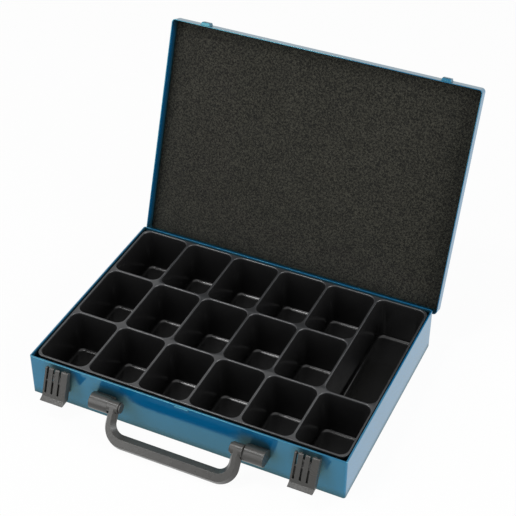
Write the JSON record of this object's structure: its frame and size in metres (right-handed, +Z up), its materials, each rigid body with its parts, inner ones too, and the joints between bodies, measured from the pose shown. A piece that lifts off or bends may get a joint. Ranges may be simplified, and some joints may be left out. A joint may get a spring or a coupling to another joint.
{
  "type": "socket organizer drawer box",
  "caption": "Sheet-steel assortment case with a hinged foam-lined lid, a lift-out compartment insert, a bail handle and two lever latches.",
  "frame": {"origin": "middle of the underside of the case body", "axes": "+X to the right seen from the handle side, +Y to the hinges at the rear, +Z up"},
  "size_m": [0.4356, 0.4725, 0.3393],
  "materials": {
    "blue_enamel": "satin",
    "foam": "matt",
    "insert_plastic": "satin",
    "grey_plastic": "satin",
    "plated_steel": "satin"
  },
  "bodies": {
    "base": {"base_shell": "blue_enamel", "handle_mount_left": "grey_plastic", "handle_mount_right": "grey_plastic", "handle_mount_nuts": "plated_steel", "handle_pin_left": "grey_plastic", "handle_pin_right": "grey_plastic", "latch_bracket_left": "grey_plastic", "latch_bracket_right": "grey_plastic", "latch_pin_left": "grey_plastic", "latch_pin_right": "grey_plastic", "hinge_base_leaf_left": "plated_steel", "hinge_base_leaf_right": "plated_steel"},
    "lid": {"lid_shell": "blue_enamel", "lid_foam": "foam", "hinge_lid_leaf_left": "plated_steel", "hinge_lid_leaf_right": "plated_steel"},
    "insert": {"insert_tray": "insert_plastic"},
    "handle": {"carry_handle": "grey_plastic"},
    "latch_left": {"latch_lever_left": "grey_plastic"},
    "latch_right": {"latch_lever_right": "grey_plastic"}
  },
  "joints": [
    {"name": "lid_hinge", "type": "hinge", "parent": "base", "child": "lid", "pos_m": [0, 0.1554, 0.0466], "axis": [-1, 0, 0], "range_deg": [-109.4, 0]},
    {"name": "insert_lift", "type": "slide", "parent": "base", "child": "insert", "axis": [0, 0, 1], "range_m": [0, 0.06]},
    {"name": "handle_swing", "type": "hinge", "parent": "base", "child": "handle", "pos_m": [0, -0.1665, 0.043], "axis": [-1, 0, 0], "range_deg": [0, 140]},
    {"name": "latch_left_swing", "type": "hinge", "parent": "base", "child": "latch_left", "pos_m": [-0.169, -0.1556, 0.0586], "axis": [-1, 0, 0], "range_deg": [-22, 50]},
    {"name": "latch_right_swing", "type": "hinge", "parent": "base", "child": "latch_right", "pos_m": [0.169, -0.1556, 0.0586], "axis": [-1, 0, 0], "range_deg": [-22, 50]}
  ]
}
